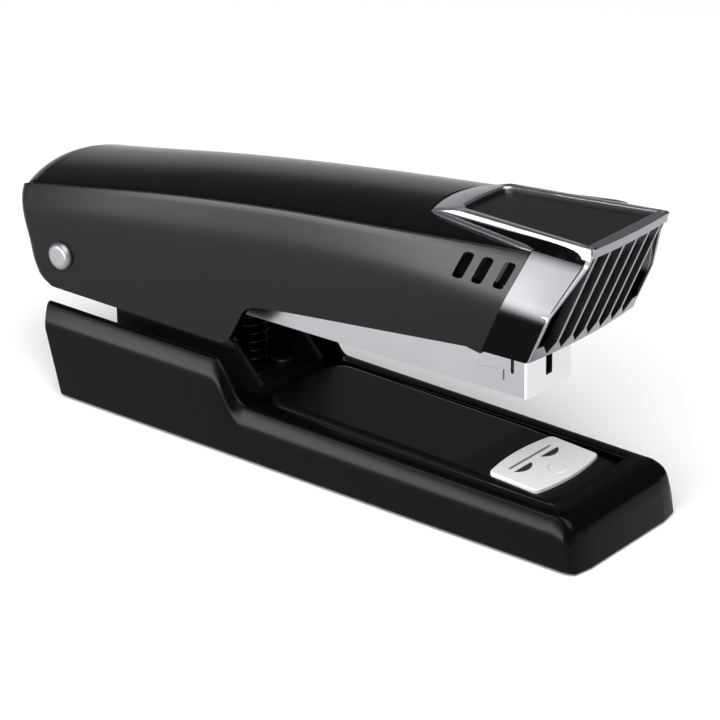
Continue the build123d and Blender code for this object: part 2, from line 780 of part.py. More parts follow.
def nose_zone(grow):
    """Everything ahead of the seam on the cover's sides, and the wedge on its top."""
    with BuildPart() as zone:
        with BuildSketch(centre_plane):
            with BuildLine():
                Polyline(
                    (seam_foot[0] - grow, 35.0), (seam_foot[0] - grow, seam_foot[1]),
                    (seam_top[0] - grow, seam_top[1]), (seam_top[0] - grow, 90.0),
                    (95.0, 90.0), (95.0, 35.0), (seam_foot[0] - grow, 35.0),
                )
            make_face()
        extrude(amount=40, both=True)
        with BuildSketch(Plane.XY.offset(trim_floor - grow)):
            with BuildLine():
                rear = wedge_rear_x - grow
                half = wedge_rear_half + grow
                Polyline(
                    (rear, -half), (seam_top[0], -cover_half_nose + 2.3 - grow), (70, -16),
                    (70, 16), (seam_top[0], cover_half_nose - 2.3 + grow), (rear, half),
                )
                ThreePointArc((rear, half), (rear - 1.6, 0), (rear, -half))
            make_face()
        extrude(amount=30)
    return zone.part


# ---------------------------------------------------------------- cover
frame_steel = 1.0
frame_roof = 14.2            # underside of the steel frame's web, above the hinge axis
frame_screw = 1.2
frame_screw_grip = 4.0
frame_screw_places = [(26.0, -5.6), (26.0, 5.6), (50.0, -5.6), (50.0, 5.6)]
cover_boss_radius = 2.4
vent_places = [40.8, 45.6, 51.0]
vent_height = 59.7
vent_long = 6.2
vent_wide = 2.5
vent_corner = 0.8
vent_lean = 24.0

with BuildPart() as cover_bosses:
    with BuildSketch(along_arm(frame_roof + frame_steel)):
        with Locations(*frame_screw_places):
            Circle(cover_boss_radius)
    extrude(amount=20)
    add(outer_form, mode=Mode.INTERSECT)

with BuildPart() as handle_cover:
    add(outer_form)
    add(inner_form, mode=Mode.SUBTRACT)
    add(cover_bosses.part)
    with BuildSketch(along_arm(frame_roof + frame_steel)):
        with Locations(*frame_screw_places):
            Circle(frame_screw)
    extrude(amount=frame_screw_grip + 0.3, mode=Mode.SUBTRACT)
    add(nose_zone(seam_gap), mode=Mode.SUBTRACT)
    with BuildSketch(centre_plane):
        with Locations(*[(x, vent_height) for x in vent_places]):
            RectangleRounded(vent_wide, vent_long, vent_corner, rotation=-vent_lean)
    extrude(amount=40, both=True, mode=Mode.SUBTRACT)
    with BuildSketch(centre_plane):
        with Locations((hinge_x, hinge_z)):
            Circle(pin_bore)
    extrude(amount=40, both=True, mode=Mode.SUBTRACT)
save(handle_cover, "handle_cover")

# ---------------------------------------------------------------- nose trim, grille and pad
rim_rear = (33.2, 67.3)
rim_front = (68.7, 68.7)
rim_rear_half = 7.5
rim_front_half = 12.9
pad_recess = 0.8
pad_plate = 1.4
grille_thick = 1.6
grille_gap = 0.05


def face_plane(depth):
    """Plane of the nose's leaning face, moved back into the nose by depth."""
    length = (1 + nose_lean**2) ** 0.5
    return Plane(
        origin=(nose_bottom_x - depth, 0, 43.5), x_dir=(0, 1, 0), z_dir=(1 / length, 0, -nose_lean / length)
    )


def window_sketch(inset, front):
    """Plan outline of the pad window, widening towards the nose."""
    spread = (rim_front_half - rim_rear_half) / (rim_front[0] - rim_rear[0])
    rear = rim_rear[0] + inset
    rear_half = rim_rear_half + spread * inset - inset
    front_half = rim_rear_half + spread * (front - rim_rear[0]) - inset
    with BuildSketch(Plane.XY.offset(60.0)) as window:
        with BuildLine():
            Polyline(
                (rear, -rear_half), (front, -front_half), (front, front_half), (rear, rear_half),
                (rear, -rear_half),
            )
        make_face()
        fillet(window.vertices().sort_by(Axis.X)[:2], radius=2.0 - inset)
    return window.sketch


def rim_line(drop, rear_x_value, front_x_value):
    """Side outline from the trim floor up to the rim line lowered by drop."""
    rise = (rim_front[1] - rim_rear[1]) / (rim_front[0] - rim_rear[0])
    with BuildSketch(centre_plane) as band:
        with BuildLine():
            front_z = rim_rear[1] + rise * (front_x_value - rim_rear[0]) - drop
            Polyline(
                (rear_x_value, trim_floor), (rear_x_value, 65.4 - drop), (rim_rear[0], rim_rear[1] - drop),
                (front_x_value, front_z), (front_x_value, trim_floor), (rear_x_value, trim_floor),
            )
        make_face()
    return band.sketch


def wedge_sketch(rear, rear_half, front, front_half):
    """Plan outline of the trim's top frame: a wedge with a bowed rear edge."""
    with BuildSketch(Plane.XY.offset(trim_floor)) as wedge:
        with BuildLine():
            Polyline((rear, -rear_half), (front, -front_half), (front, front_half), (rear, rear_half))
            ThreePointArc((rear, rear_half), (rear - 1.6, 0), (rear, -rear_half))
        make_face()
    return wedge.sketch


with BuildPart() as rim_frame:
    extrude(
        to_extrude=wedge_sketch(wedge_rear_x, wedge_rear_half, rim_front[0], rim_front_half + 0.5),
        amount=10,
    )
    extrude(
        to_extrude=rim_line(0, wedge_rear_x - 3, rim_front[0]),
        amount=20, both=True, mode=Mode.INTERSECT,
    )

with BuildPart() as pad_pocket:
    extrude(to_extrude=window_sketch(0, rim_front[0] + 2), amount=20)
    extrude(
        to_extrude=rim_line(pad_recess + pad_plate, rim_rear[0] - 5, rim_front[0] + 5),
        amount=30, both=True, mode=Mode.SUBTRACT,
    )

with BuildPart() as nose_trim:
    add(outer_form)
    add(inner_form, mode=Mode.SUBTRACT)
    add(nose_zone(0), mode=Mode.INTERSECT)
    add(rim_frame.part)
    add(pad_pocket.part, mode=Mode.SUBTRACT)
    split(bisect_by=face_plane(grille_thick + grille_gap), keep=Keep.BOTTOM)
save(nose_trim, "nose_trim")

slot_pitch = 4.4
slot_count = 7
bar_width = 0.7
band_side = 1.6
band_top = 3.0
vee_rise = 2.8
face_length = (rim_front[1] - 43.5) * (1 + nose_lean**2) ** 0.5
face_reach = 8.0             # the slots are cut from this far ahead of the face
slot_row = [slot_pitch * (i - (slot_count - 1) / 2) for i in range(slot_count)]

with BuildPart() as nose_grille:
    add(outer_form)
    add(rim_frame.part)
    split(bisect_by=face_plane(grille_thick), keep=Keep.TOP)
    with BuildSketch(face_plane(0).offset(face_reach)):
        wide = cover_half_nose - band_side
        narrow = rim_front_half - band_side
        Polygon(
            (-wide, 0.6), (-wide, 11.0), (-narrow, face_length - band_top - 2),
            (-narrow, face_length - band_top), (narrow, face_length - band_top),
            (narrow, face_length - band_top - 2), (wide, 11.0), (wide, 0.6), align=None,
        )
        for left, right in zip(slot_row[:-1], slot_row[1:]):
            with Locations(((left + right) / 2, 0)):
                Rectangle(bar_width, 80, mode=Mode.SUBTRACT)
            point = ((left + right) / 2, 0.6 + vee_rise)
            Polygon((left, 0.5), (right, 0.5), point, align=None, mode=Mode.SUBTRACT)
        for end in (-1, 1):
            Polygon(
                (end * slot_row[-1], 0.5), (end * (wide + 1), 0.5), (end * (wide + 1), 4.5),
                (end * (slot_row[-1] + slot_pitch / 2 - bar_width / 2), 0.6 + vee_rise), align=None,
                mode=Mode.SUBTRACT,
            )
    extrude(amount=-30, mode=Mode.SUBTRACT)
save(nose_grille, "nose_grille")

backing_front = grille_thick + grille_gap + 0.05
backing_thick = 1.0

with BuildPart() as grille_backing:
    add(form_solid(cover_wall + run_gap))
    split(bisect_by=face_plane(backing_front), keep=Keep.BOTTOM)
    split(bisect_by=face_plane(backing_front + backing_thick), keep=Keep.TOP)
    add(outer_form, mode=Mode.INTERSECT)
    add(rim_frame.part, mode=Mode.SUBTRACT)
save(grille_backing, "grille_backing")

with BuildPart() as thumb_pad:
    extrude(to_extrude=window_sketch(0.1, rim_front[0]), amount=20)
    extrude(
        to_extrude=rim_line(pad_recess + pad_plate, rim_rear[0] - 5, rim_front[0] + 5),
        amount=30, both=True, mode=Mode.SUBTRACT,
    )
    extrude(
        to_extrude=rim_line(pad_recess, rim_rear[0] - 5, rim_front[0] + 5),
        amount=30, both=True, mode=Mode.INTERSECT,
    )
    split(bisect_by=face_plane(grille_thick + grille_gap), keep=Keep.BOTTOM)
save(thumb_pad, "thumb_pad")

# ---------------------------------------------------------------- driver
blade_half = staple_crown / 2 - 0.1
blade_tip = crown_top + 0.25
blade_root = 25.4            # where the blade bends back into its flange
holder_rear = blade_front - 17.15
holder_front = holder_rear + 13.0
holder_top = 27.8


def arc_point(radius, height):
    """Point on a circle about the hinge, at a height above the magazine's axis."""
    return ((radius**2 - height**2) ** 0.5, height)


with BuildPart() as driver_blade:
    with BuildSketch(arm_plane):
        with BuildLine():
            outer = blade_front
            inner = blade_front - blade_thick
            middle = (blade_tip + blade_root) / 2
            ThreePointArc(
                arc_point(outer, blade_tip), arc_point(outer, middle),
                arc_point(outer, blade_root + blade_thick),
            )
            Polyline(
                arc_point(outer, blade_root + blade_thick), (holder_rear, blade_root + blade_thick),
                (holder_rear, blade_root), arc_point(inner, blade_root),
            )
            ThreePointArc(arc_point(inner, blade_root), arc_point(inner, middle), arc_point(inner, blade_tip))
            Line(arc_point(inner, blade_tip), arc_point(outer, blade_tip))
        make_face()
    extrude(amount=blade_half, both=True)
save(driver_blade, "driver_blade")

with BuildPart() as driver_holder:
    with BuildSketch(arm_plane):
        with BuildLine():
            Polyline(
                (holder_rear, blade_root + 0.62), (holder_front, blade_root + 0.62),
                (holder_front, holder_top), (holder_rear, holder_top), (holder_rear, blade_root + 0.62),
            )
        make_face()
    extrude(amount=blade_half - 0.6, both=True)
save(driver_holder, "driver_holder")

# ---------------------------------------------------------------- steel frame inside the cover
frame_inner = mag_half + 0.45
frame_outer = frame_inner + frame_steel
frame_front = 60.0
frame_lobe = 6.0
with BuildPart() as handle_frame:
    with BuildSketch(arm_plane):
        with BuildLine():
            Polyline(
                (-3.0, -4.0), (14.0, -2.0), (frame_front, 4.0), (frame_front, frame_roof + frame_steel),
                (14.0, frame_roof + frame_steel), (2.0, 6.0), (-3.0, -4.0),
            )
        make_face()
        Circle(frame_lobe)
    extrude(amount=frame_outer, both=True)
    with BuildSketch(across_arm(-20)):
        with Locations((0, frame_roof - 25)):
            Rectangle(2 * frame_inner, 50)
    extrude(amount=120, mode=Mode.SUBTRACT)
    with BuildSketch(across_arm(-20)):
        with Locations((0, 25)):
            Rectangle(2 * frame_inner, 60)
    extrude(amount=31, mode=Mode.SUBTRACT)
    with BuildSketch(arm_plane):
        Circle(pin_bore)
    extrude(amount=20, both=True, mode=Mode.SUBTRACT)
    with BuildSketch(along_arm(frame_roof)):
        with Locations(*frame_screw_places):
            Circle(frame_screw + 0.1)
    extrude(amount=frame_steel, mode=Mode.SUBTRACT)
save(handle_frame, "handle_frame")

with BuildPart() as frame_screws:
    with BuildSketch(along_arm(frame_roof)):
        with Locations(*frame_screw_places):
            Circle(frame_screw + 0.7)
    extrude(amount=-0.9)
    with BuildSketch(along_arm(frame_roof)):
        with Locations(*frame_screw_places):
            Circle(frame_screw)
    extrude(amount=frame_steel + frame_screw_grip)
save(frame_screws, "frame_screws")

# ---------------------------------------------------------------- leaf spring that lifts the handle
leaf_half = 3.2
leaf_thick = 0.6
leaf_base = mag_top - 0.6
leaf_tip_along = 57.0

with BuildPart() as return_spring:
    with BuildSketch(arm_plane):
        with BuildLine():
            Polyline(
                (rail_rear + 0.5, leaf_base), (block_front - 0.5, leaf_base),
                (leaf_tip_along - 4, frame_roof - leaf_thick - 0.3),
                (leaf_tip_along, frame_roof - leaf_thick - 1.1),
                (leaf_tip_along, frame_roof - 1.1), (leaf_tip_along - 4, frame_roof - 0.3),
                (block_front - 0.7, leaf_base + leaf_thick), (rail_rear + 0.5, leaf_base + leaf_thick),
                (rail_rear + 0.5, leaf_base),
            )
        make_face()
    extrude(amount=leaf_half, both=True)
save(return_spring, "return_spring")
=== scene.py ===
"""Looks of a desk stapler: nickel magazine, black moulded cover and base, chromed slotted nose."""

import math

import bmesh
import bpy
import numpy as np
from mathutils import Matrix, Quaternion, Vector


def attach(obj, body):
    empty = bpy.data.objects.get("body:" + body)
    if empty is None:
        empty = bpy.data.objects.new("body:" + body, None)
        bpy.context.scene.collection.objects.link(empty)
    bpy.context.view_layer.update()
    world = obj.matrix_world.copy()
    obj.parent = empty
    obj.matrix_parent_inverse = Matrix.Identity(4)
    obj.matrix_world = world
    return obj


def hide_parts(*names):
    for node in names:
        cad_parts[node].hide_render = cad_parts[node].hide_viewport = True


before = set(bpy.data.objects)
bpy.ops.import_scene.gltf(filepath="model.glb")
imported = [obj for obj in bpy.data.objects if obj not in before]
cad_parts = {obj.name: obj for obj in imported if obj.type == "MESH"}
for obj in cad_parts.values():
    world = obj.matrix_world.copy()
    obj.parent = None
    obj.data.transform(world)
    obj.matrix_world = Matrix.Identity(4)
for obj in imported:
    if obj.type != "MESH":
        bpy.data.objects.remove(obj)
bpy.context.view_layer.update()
scene = bpy.context.scene

# Camera: it stands ahead of the near side and well above the cover, so the
# stapler is seen from its nose back to its hinge in one three-quarter view.
camera_place = Vector((0.3648, -0.4474, 0.2794))
camera_target = Vector((0.0007, 0.0, 0.0220))
camera_roll = -0.21

lens = bpy.data.cameras.new("camera")
lens.lens = 147.3
lens.sensor_width = 36.0
camera = bpy.data.objects.new("camera", lens)
scene.collection.objects.link(camera)
aim = (camera_target - camera_place).to_track_quat("-Z", "Y")
camera.rotation_mode = "QUATERNION"
camera.rotation_quaternion = aim @ Quaternion((0, 0, 1), math.radians(camera_roll))
camera.location = camera_place
scene.camera = camera


# Table and light: a white studio table under broad soft boxes. A strip close to the near side
# and a low box behind give the black mouldings their long soft reflections.
def linear(hex_colour):
    """An sRGB hex colour as linear red, green, blue and one: the standard curve, as one array."""
    code = np.array([int(hex_colour[i : i + 2], 16) for i in (1, 3, 5)]) / 255.0
    curve = np.where(code <= 0.04045, code / 12.92, ((code + 0.055) / 1.055) ** 2.4)
    return (*curve.tolist(), 1.0)


def add_node(tree, kind, inputs=(), **settings):
    """Adds a shader node with its settings; each input takes a value or a link from a socket."""
    made = tree.nodes.new("ShaderNode" + kind)
    for name, value in settings.items():
        setattr(made, name, value)
    for name, value in dict(inputs).items():
        if isinstance(value, bpy.types.NodeSocket):
            tree.links.new(value, made.inputs[name])
        else:
            made.inputs[name].default_value = value
    return made


def new_material(name, bsdf_inputs):
    """A material with one Principled shader, and that shader and its tree to build on."""
    material = bpy.data.materials.new(name)
    material.use_nodes = True
    tree = material.node_tree
    shader = tree.nodes["Principled BSDF"]
    for key, value in bsdf_inputs.items():
        shader.inputs[key].default_value = value
    return material, tree, shader


def surface(name, points, material, closed=False, capped=False):
    """A grid of points in millimetres, rows by columns, as one quad mesh.

    Closed joins the last column to the first, and capped fills the first and last rows.
    """
    rows, columns = points.shape[:2]
    strips = columns if closed else columns - 1
    row, column = np.meshgrid(np.arange(rows - 1), np.arange(strips), indexing="ij")
    here, ahead = row * columns, (row + 1) * columns
    after = (column + 1) % columns
    faces = np.stack([here + column, here + after, ahead + after, ahead + column], -1).reshape(-1, 4).tolist()
    if capped:
        faces += [list(range(columns))[::-1], [(rows - 1) * columns + i for i in range(columns)]]
    mesh = bpy.data.meshes.new(name)
    mesh.from_pydata((points.reshape(-1, 3) * 0.001).tolist(), [], faces)
    work = bmesh.new()
    work.from_mesh(mesh)
    bmesh.ops.remove_doubles(work, verts=work.verts, dist=2e-6)
    bmesh.ops.dissolve_degenerate(work, edges=work.edges, dist=1e-6)
    if capped:
        bmesh.ops.recalc_face_normals(work, faces=work.faces)
    work.to_mesh(mesh)
    work.free()
    mesh.materials.append(material)
    made = bpy.data.objects.new(name, mesh)
    scene.collection.objects.link(made)
    return made


scene.view_settings.view_transform = "Standard"

table_half = 3000.0
table_white, tree, shader = new_material(
    "table_white", {"Base Color": linear("#F7F7F6"), "Roughness": 0.9, "Specular IOR Level": 0.1}
)
edge = np.linspace(-table_half, table_half, 3)
table_grid = np.stack([*np.meshgrid(edge, edge, indexing="xy"), np.zeros((3, 3))], -1)
table = surface("table", table_grid, table_white)

soft_boxes = [
    # name, place, aimed at, width, height, watts
    ("top_box", (0.7, -0.9, 1.6), (0.0, 0.0, 0.0), 2.2, 2.2, 70.0),
    ("near_floor_box", (-1.5, -1.9, 0.9), (-1.5, -1.9, 0.0), 1.6, 1.2, 30.0),
    ("back_box", (-0.95, 1.15, 0.26), (0.0, 0.0, 0.05), 1.8, 0.5, 1.6),
    ("low_strip", (-0.115, -0.296, 0.036), (0.074, -0.065, 0.036), 0.305, 0.06, 0.85),
]
for name, place, target, width, height, watts in soft_boxes:
    light = bpy.data.lights.new(name, "AREA")
    light.shape = "RECTANGLE"
    light.size = width
    light.size_y = height
    light.energy = watts
    box = bpy.data.objects.new(name, light)
    box.visible_camera = False
    box.location = place
    box.rotation_euler = (Vector(target) - Vector(place)).to_track_quat("-Z", "Y").to_euler()
    scene.collection.objects.link(box)

world = bpy.data.worlds.new("studio")
world.use_nodes = True
world.node_tree.nodes["Background"].inputs["Color"].default_value = linear("#9A9A9E")
world.node_tree.nodes["Background"].inputs["Strength"].default_value = 0.45
scene.world = world


# Base: one black ABS moulding, open at the rear where the hinge bracket sits, stepped down
# to a long deck. Gloss moulded, so it shows the studio's soft boxes in long streaks.
def settle(piece, sharp_degrees):
    """Applies the piece's modifiers, then shades it smooth except across edges sharper than the angle."""
    bpy.context.view_layer.update()
    final = bpy.data.meshes.new_from_object(piece.evaluated_get(bpy.context.evaluated_depsgraph_get()))
    piece.modifiers.clear()
    piece.data = final
    final.shade_smooth()
    final.set_sharp_from_angle(angle=math.radians(sharp_degrees))
    return piece


def smooth_curve(at, places, values):
    """A cubic through the given values, whose slope at each place is the mean of its neighbours'."""
    places, values = np.asarray(places, float), np.asarray(values, float)
    slopes = np.gradient(values, places)
    at = np.clip(at, places[0], places[-1])
    i = np.clip(np.searchsorted(places, at, side="right") - 1, 0, len(places) - 2)
    step = places[i + 1] - places[i]
    t = (at - places[i]) / step
    return (
        (1 + 2 * t) * (1 - t) ** 2 * values[i] + t * (1 - t) ** 2 * step * slopes[i]
        + t * t * (3 - 2 * t) * values[i + 1] + t * t * (t - 1) * step * slopes[i + 1]
    )


def rounded(corners, radii, steps=6):
    """Polygons, one a row, with each corner cut by a parabola that starts and ends a radius away from it."""
    count = corners.shape[-2]
    t = np.linspace(0, 1, steps)[:, None]
    columns = []
    for i, radius in enumerate(radii):
        here, before, after = corners[:, i], corners[:, i - 1], corners[:, (i + 1) % count]
        if radius == 0:
            columns.append(here[:, None])
            continue
        to_before, to_after = before - here, after - here
        reach_before = np.linalg.norm(to_before, axis=-1, keepdims=True) + 1e-9
        reach_after = np.linalg.norm(to_after, axis=-1, keepdims=True) + 1e-9
        start = here + to_before / reach_before * np.minimum(radius, 0.45 * reach_before)
        end = here + to_after / reach_after * np.minimum(radius, 0.45 * reach_after)
        cut = (1 - t) ** 2 * start[:, None] + 2 * t * (1 - t) * here[:, None] + t * t * end[:, None]
        columns.append(cut)
    return np.concatenate(columns, 1)


def finish(name, dark, light, metallic, rough, spread, grain, relief, stretch=(1, 1, 1), **extra):
    """A finish whose tone drifts between two colours, and whose gloss and relief follow a noise grain.

    Grain and relief are in millimetres; stretch scales the grain along x, y and z, so a small share
    gives marks that run along that direction.
    """
    material, tree, shader = new_material(name, {"Metallic": metallic, **extra})
    where = add_node(tree, "TexCoord").outputs["Object"]
    pitch = [1000.0 / grain * share for share in stretch]
    placed = add_node(tree, "Mapping", {"Vector": where, "Scale": pitch})
    fine = add_node(tree, "TexNoise", {"Vector": placed.outputs["Vector"], "Scale": 1.0, "Detail": 3.0})
    broad = add_node(tree, "TexNoise", {"Vector": where, "Scale": 60.0, "Detail": 2.0})
    tint = add_node(
        tree, "Mix", {"Factor": broad.outputs["Fac"], 6: linear(dark), 7: linear(light)}, data_type="RGBA"
    )
    gloss = add_node(
        tree, "MapRange", {"Value": fine.outputs["Fac"], "To Min": rough - spread, "To Max": rough + spread}
    )
    bump = add_node(tree, "Bump", {"Height": fine.outputs["Fac"], "Distance": relief * 0.001})
    tree.links.new(tint.outputs[2], shader.inputs["Base Color"])
    tree.links.new(gloss.outputs["Result"], shader.inputs["Roughness"])
    tree.links.new(bump.outputs["Normal"], shader.inputs["Normal"])
    return material


def dress(material, *names):
    """Gives the named CAD pieces this material in place of their plain one."""
    for name in names:
        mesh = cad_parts[name].data
        mesh.materials.clear()
        mesh.materials.append(material)


foot_rear, foot_front = 20.0, 18.8
base_end, step_top, step_foot, base_nose = -70.0, -25.5, -17.0, 70.0
rim_high, rim_low, rim_nose = 21.5, 12.4, 12.0
lift = 0.6
bed_start, bend_start, deck_end = -65.2, 62.0, 60.5
rear_floor, bed_floor, deck_floor = 6.0, 11.8, 8.5
rear_roof, front_roof, roof_step = 9.4, 6.2, -21
trough_half, recess_half, pocket_half, least_rim = 16.5, 13.6, 16.8, 3.2
shoulder_drop, wall_lean, shoulder_in = 4.6, 0.3, 2.0
end_round, end_inset, end_bow = 3.0, 1.2, 2.0

path_x = np.concatenate([
    np.linspace(base_end, bed_start - 0.1, 4), np.linspace(bed_start + 0.1, step_top - 1, 16),
    np.linspace(step_top, step_foot, 14), [step_foot + 0.3, -14.0],
    np.linspace(-10, deck_end - 0.2, 22), [deck_end + 0.1, bend_start],
])
fall = np.clip((path_x - step_top) / (step_foot - step_top), 0, 1)
path_rim = np.where(
    path_x < step_foot, rim_low + (rim_high - rim_low) * (1 + np.cos(np.pi * fall)) / 2,
    rim_low + (rim_nose - rim_low) * (path_x - step_foot) / (bend_start - step_foot),
)
turn_over = np.linspace(0, 1, 18)[1:]
nose_bend = np.array(
    [[bend_start, rim_nose], [65.4, 11.9], [68.0, 10.6], [69.0, 8.2], [69.5, 5.0], [base_nose, lift + 0.02]]
)
along = np.r_[0, np.cumsum(np.linalg.norm(np.diff(nose_bend, axis=0), axis=1))]
path_x = np.r_[path_x, smooth_curve(turn_over * along[-1], along, nose_bend[:, 0])]
path_rim = np.r_[path_rim, smooth_curve(turn_over * along[-1], along, nose_bend[:, 1])]

foot = foot_rear + (foot_front - foot_rear) * (path_x - base_end) / (base_nose - base_end)
corner = np.clip((path_x - (base_nose - end_round)) / end_round, 0, 1)
foot = foot - end_inset * (1 - np.sqrt(1 - 0.98 * corner**2))
behind_deck = path_x < step_foot + 0.1
trough = np.minimum(np.where(behind_deck, trough_half, recess_half), foot - least_rim)
bed = np.where(path_x < bed_start, rear_floor, np.where(behind_deck, bed_floor, deck_floor))
bed = np.where(path_x > deck_end, path_rim, bed)
# From the hinge to the foot of the step the shoulder is a fixed drop below the rim; along the deck
# and round the nose it is a fixed share of the rim's height.
shoulder_share = 0.61
shoulder = np.where(path_rim < rim_low, lift + (path_rim - lift) * shoulder_share, path_rim - shoulder_drop)
roof = np.where(path_x < roof_step, rear_roof, np.where(path_x < bend_start + 0.1, front_roof, lift))
roof = np.where(path_x < bed_start, lift, roof)
near = np.stack([
    np.stack([-np.full_like(foot, pocket_half), np.full_like(foot, lift)], -1),
    np.stack([-foot, np.full_like(foot, lift)], -1),
    np.stack([-(foot - wall_lean), shoulder], -1),
    np.stack([-(foot - shoulder_in), path_rim], -1),
    np.stack([-trough, path_rim], -1),
    np.stack([-trough, bed], -1),
], 1)
mirror = np.array([-1.0, 1.0])
low = np.stack([np.full_like(foot, pocket_half), roof], -1)
outline = np.concatenate([near, near[:, ::-1] * mirror, low[:, None], (low * mirror)[:, None]], 1)
radii = [0, 0.5, 1.8, 1.0, 0.7, 0.5]
section = rounded(outline, radii + radii[::-1] + [0, 0])
across, height = section[..., 0], section[..., 1]
toward_rear = np.clip((-40 - path_x) / 30, 0, 1)[:, None]
lean = np.interp(height, [0, 15.9, 20.5, 22], [0, 4.7, 5.2, 5.2]) * toward_rear
toward_nose = np.clip((path_x - 40) / 30, 0, 1)[:, None]
bow = end_bow * toward_nose**2 * (1 - (across / foot_front) ** 2)
skin = np.stack([path_x[:, None] - lean + bow, across, height], -1)

# Polished-tool ABS: near black, a clear reflection, very faint flow marks.
gloss_black = finish(
    "moulded_abs_base", "#040405", "#060607", 0.0, 0.17, 0.03, 0.8, 0.001,
    **{"IOR": 1.36, "Specular IOR Level": 0.12},
)
dress(gloss_black, "base_shell")
base_moulding = surface("base_moulding", skin[::-1], gloss_black, closed=True, capped=True)
settle(base_moulding, 40)
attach(base_moulding, "base")
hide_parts("base_shell")

# Cover: one black ABS moulding over the magazine, with straight walls, a steep shoulder and a
# crowned top. It is open below and at the nose, and its wall is 1.8 mm thick.
cover_at = [-92.0, -70.0, -40.0, -10.0, 20.0, 56.0]
wall_half = [16.0, 16.0, 16.0, 16.2, 17.2, 18.5]
wall_top = [40.0, 43.2, 47.1, 50.8, 53.5, 54.4]
crest_half = [15.0, 15.0, 15.1, 15.4, 16.0, 16.0]
crest = [46.2, 50.0, 55.1, 59.2, 62.5, 66.2]
crown = [3.0, 3.0, 3.0, 3.0, 3.0, 2.2]
skirt_at = [-90, -24.8, -24.0, -22.6, -18.5, -17.4, -15.0, -6.2, 42.5, 47.4, 60]
skirt = [24.5, 24.5, 24.8, 25.9, 33.2, 34.4, 35.3, 36.7, 42.9, 42.2, 42.2]
wall_thick = 1.8
rear_height = [24.5, 26.0, 27.7, 34.4, 40.3, 44.0, 46.7, 50.5, 53]
rear_line = [-76.9, -79.6, -80.7, -82.7, -84.2, -84.5, -83.9, -82.2, -80.0]
rear_bow = 3.6
wedge_half, wedge_back, wedge_bow = 8.8, 26.5, 1.6
seam_top, seam_half = 56.9, 16.2
seam_foot, seam_foot_height, seam_lean = 46.5, 43.0, 10.4 / 24.0
top_round, edge_round = 5.0, 1.6


def thicken(piece, wall):
    """Gives an open moulded skin its wall, inwards from the seen face, in millimetres."""
    solid = piece.modifiers.new("wall", "SOLIDIFY")
    solid.thickness = wall * 0.001
    solid.offset = -1.0
    return piece


def bend(first, turn, last, steps):
    """Points of the parabola from first to last that heads for the turning point."""
    t = np.linspace(0, 1, steps)[:, None]
    return (1 - t) ** 2 * first + 2 * t * (1 - t) * turn + t * t * last


# Each column of the section is a mix of its sizes: wall and crest half widths across, then
# skirt, wall top, crest, crown and one millimetre upwards.
crease_start = np.array([1, 0, 0, 1, 0, 0, -3.0])
crease = np.array([1, 0, 0, 1, 0, 0, 0.0])
crease_end = np.array([0.75, 0.25, 0, 0.75, 0.25, 0, 0])
edge_start = np.array([0.07, 0.93, 0, 0.07, 0.93, 0, 0])
edge_turn = np.array([0, 1.0, 0, 0, 1, 0, 0])
share = np.r_[np.linspace(0.955, 0.55, 8), np.linspace(0.50, 0.0, 8)][:, None]
crest_part, top_part, crown_part = np.eye(7)[[1, 4, 5]]
crown_line = share * crest_part + (1 - share**2) * crown_part + top_part
wall_share = np.linspace(0, 1, 14)[:-1, None]
wall_line = (1 - wall_share) * np.array([1, 0, 1.0, 0, 0, 0, 0]) + wall_share * crease_start
slope_share = np.linspace(0, 1, 5)[1:-1, None]
slope_line = (1 - slope_share) * crease_end + slope_share * edge_start
half = np.concatenate([
    wall_line, bend(crease_start, crease, crease_end, 7), slope_line,
    bend(edge_start, edge_turn, crown_line[0], 5), crown_line[1:],
])
columns = np.concatenate([half, half[:-1][::-1]])
side = np.r_[-np.ones(len(half)), np.ones(len(half) - 1)]
side[len(half) - 1] = 0.0
on_top = np.abs(columns[:, 4] + columns[:, 3] - 1) < 1e-6
on_top = on_top & (columns[:, 5] > 0)


def cover_section(x):
    """Across and height of every column of the cover at its own place along the stapler."""
    sizes = [smooth_curve(x, cover_at, v) for v in (wall_half, crest_half)]
    sizes += [np.interp(x, skirt_at, skirt)]
    sizes += [smooth_curve(x, cover_at, v) for v in (wall_top, crest, crown)] + [np.ones_like(x)]
    y = side * (columns[:, 0] * sizes[0] + columns[:, 1] * sizes[1])
    z = sum(columns[:, k] * sizes[k] for k in range(2, 7))
    return y, z


def seam_x(y, z):
    """Where the cover meets the nose trim: a leaning line on the sides and a wedge on the top."""
    out = np.abs(y)
    flare = (seam_top - wedge_back) / (seam_half - wedge_half)
    rear_arc = wedge_back - wedge_bow * (1 - (out / wedge_half) ** 2)
    wedge = np.where(out > wedge_half, seam_top - (seam_half - out) * flare, rear_arc)
    return np.where(on_top, wedge, seam_foot + (z - seam_foot_height) * seam_lean)


def rear_x(y, z):
    """The rear wall: its side outline by height, bowed back at the middle."""
    return smooth_curve(z, rear_height, rear_line) - rear_bow * (1 - (y / wall_half[0]) ** 2)


front_x = np.full(len(columns), 50.0)
back_x = np.full(len(columns), -80.0)
round_off = np.where(on_top, top_round, edge_round)
# The section changes along the cover, so each column's two ends are found by repeating the step.
for step in range(6):
    front_x = seam_x(*cover_section(front_x))
    back_x = rear_x(*cover_section(back_x)) + round_off
rows = np.linspace(0, 1, 170)[:, None]
tube_x = front_x + (back_x - front_x) * rows
y, z = cover_section(tube_x)
tube = np.stack([tube_x, y, z], -1)
